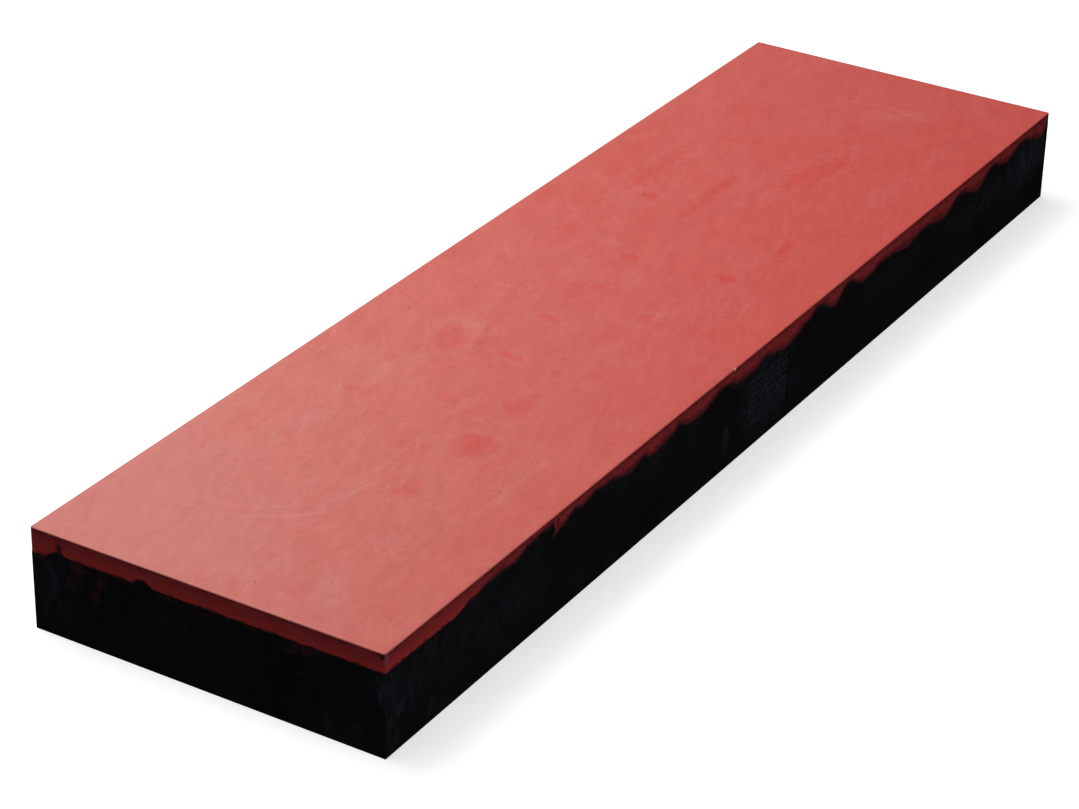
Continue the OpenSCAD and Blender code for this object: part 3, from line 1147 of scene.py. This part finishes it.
def black_rubber(name, rubbed=0.0):
    """Black rubber with a moulded skin: faint bloom, rubbed smudges and thin films of red."""
    made = Material(name)
    clouds = made.noise(40, 5, 0.6, 0.6)
    skin = made.noise(7, 4, 0.65, 0.5)
    grain = made.noise(1.2, 3, 0.7)
    drips = made.noise(4, 4, 0.65, 0.6, made.stretched((1.0, 1.0, 2.5)))
    base = made.blend(made.between(clouds, 0.35, 0.65), BLACK_DEEP, BLACK_MID)
    smudge = made.times(made.attribute("smudge"), made.between(drips, 0.36, 0.68))
    bloom = made.larger(smudge, made.between(clouds, 0.58, 0.85, 0.0, 0.3))
    bloom = made.larger(bloom, made.between(skin, 0.35, 0.68, 0.3 * rubbed, rubbed))
    base = made.blend(bloom, base, BLACK_BLOOM)
    film = made.larger(made.attribute("film"), made.times(made.attribute("fringe"), 0.85))
    feathers = made.feathers()
    uneven = made.plus(made.plus(drips, -0.5), made.swing(feathers, 0.8))
    ragged = made.add(film, uneven, 1.4)
    shown = made.times(made.between(ragged, 0.25, 1.1, 0.0, 0.95), made.between(film, 0.01, 0.12))
    base = made.blend(shown, base, BLACK_FILM)
    for centre, halves, tilt in DRIPS:
        drip = made.oval(on_block(*centre), halves, 0.6, 0.0, tilt)
        base = made.blend(made.times(drip, 0.9), base, RED_SIDE_DARK)
    roughness = made.add(0.50, skin, 0.2)
    bumps = ((clouds, 0.25), (skin, 0.05), (grain, 0.03))
    return made.finish(base, roughness, bumps, specular=0.2)


def turned_steel():
    """Turned steel with a little oil stain."""
    made = Material("turned_steel")
    streaks = made.noise(0.8, 4, 0.6, 0.0, made.stretched((1.0, 1.0, 0.12)))
    stains = made.noise(8, 4, 0.6, 0.5)
    base = made.blend(streaks, colour(0.34, 0.34, 0.35), colour(0.56, 0.56, 0.57))
    base = made.blend(made.between(stains, 0.52, 0.75, 0.0, 0.6), base, colour(0.16, 0.13, 0.11))
    roughness = made.between(stains, 0.3, 0.8, 0.28, 0.55)
    return made.finish(base, roughness, ((streaks, 0.02),), metallic=1.0)


def rolled_steel():
    """Hot-rolled plate, shot-blasted so that the rubber bonds to it."""
    made = Material("rolled_steel")
    blast = made.noise(0.8, 3, 0.7)
    scale = made.noise(25, 5, 0.6, 0.8)
    base = made.blend(scale, colour(0.16, 0.16, 0.17), colour(0.34, 0.34, 0.35))
    roughness = made.between(blast, 0.2, 0.8, 0.55, 0.75)
    return made.finish(base, roughness, ((blast, 0.05),), metallic=1.0)


# ---- stage and light

FLOOR_RADIUS = 40.0
FLOOR_COLOUR = colour(0.55, 0.55, 0.55)
FLOOR_GLOW = 0.64
BACKDROP_GLOW = 0.95
SKY_COLOUR = colour(0.97, 0.98, 1.0)
SKY_STRENGTH = 0.19
HORIZON_START = -0.05  # the sky brightens between these heights on a sphere of radius 1
HORIZON_END = 0.15
SUN_STRENGTH = 1.35
SUN_SPREAD = math.radians(50)
SUN_FROM = Vector((-0.05, 0.45, 1.0))
PANEL_LIGHT_PLACE = Vector((-0.02, 0.75, 1.25))
PANEL_LIGHT_SIZE = 1.0
PANEL_LIGHT_POWER = 16.8
FILL_PLACE = Vector((-0.35, -1.6, 0.9))
FILL_SIZE = 1.0
FILL_POWER = 5.5


def plain_material(name, tint, glow):
    """A dull material with a white glow."""
    made = Nodes(bpy.data.materials.new(name))
    inputs = {
        "Roughness": 0.9,
        "Specular IOR Level": 0.1,
        "Base Color": tint,
        "Emission Color": colour(1, 1, 1),
        "Emission Strength": glow,
    }
    made.fill(made.tree.nodes["Principled BSDF"], inputs)
    return made.data


def stage_newest(name, tint, glow):
    """Names the newest piece and gives it a plain material. Only the camera sees it, so it lights no
    side of the block.
    """
    piece = bpy.context.object
    piece.name = name
    piece.data.materials.append(plain_material(name, tint, glow))
    piece.visible_diffuse = False
    piece.visible_glossy = False
    piece.visible_transmission = False
    return piece


def make_floor():
    bpy.ops.mesh.primitive_circle_add(vertices=96, radius=FLOOR_RADIUS, fill_type="NGON")
    stage_newest("floor", FLOOR_COLOUR, FLOOR_GLOW)


def make_backdrop():
    """A pale dome behind everything, which casts no shadow."""
    bpy.ops.mesh.primitive_uv_sphere_add(segments=48, ring_count=24, radius=FLOOR_RADIUS)
    stage_newest("backdrop", colour(0, 0, 0), BACKDROP_GLOW).visible_shadow = False


ORIGIN = Vector((0, 0, 0))


def make_light(name, kind, power, place, target=ORIGIN):
    """A light that shines from its place towards the target."""
    data = bpy.data.lights.new(name, kind)
    data.energy = power
    light = new_object(name, data)
    light.location = place
    light.rotation_euler = (place - target).to_track_quat("Z", "Y").to_euler()
    return data


def make_sky():
    """An even pale sky over a dark ground, so that the block's sides stay dark."""
    made = Nodes(bpy.data.worlds.new("studio"))
    bpy.context.scene.world = made.data
    direction = made.node("TexCoord").outputs["Generated"]
    height = made.node("SeparateXYZ", {"Vector": direction}).outputs["Z"]
    inputs = {"From Min": HORIZON_START, "From Max": HORIZON_END, "To Max": SKY_STRENGTH}
    strength = made.node("MapRange", {"Value": height, **inputs}).outputs["Result"]
    made.fill(made.tree.nodes["Background"], {"Color": SKY_COLOUR, "Strength": strength})


def make_studio():
    make_floor()
    make_backdrop()
    make_sky()
    make_light("sun", "SUN", SUN_STRENGTH, SUN_FROM).angle = SUN_SPREAD
    below = Vector((PANEL_LIGHT_PLACE.x, PANEL_LIGHT_PLACE.y, 0))
    overhead = make_light("overhead", "AREA", PANEL_LIGHT_POWER, PANEL_LIGHT_PLACE, below)
    overhead.size = PANEL_LIGHT_SIZE
    make_light("fill", "AREA", FILL_POWER, FILL_PLACE).size = FILL_SIZE
    bpy.context.scene.view_settings.view_transform = "Standard"


# ---- the part


def add_piece(piece, material, replaced=None):
    piece.data.materials.clear()
    piece.data.materials.append(material)
    if replaced:
        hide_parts(replaced)
    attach(piece, "root")


def dress(node, material):
    """Gives a CAD node that stays a better material."""
    data = frame["nodes"][node].data
    if not data.materials:
        data.materials.append(material)
    for index in range(len(data.materials)):
        data.materials[index] = material


make_camera()
make_studio()

cover = make_cover()
mark_cover(cover)
lay_out(cover)
body = make_body()
mark_body(body)
lay_out(body)
bars = make_bars()

add_piece(cover, red_rubber(), "wear_cover")
add_piece(body, black_rubber("black_rubber"), "rubber_body")
add_piece(bars, black_rubber("marked_rubber", 0.8))
dress("backing_plate", rolled_steel())
steel = turned_steel()
for boss in BOSSES:
    add_piece(make_boss(boss), steel, boss)
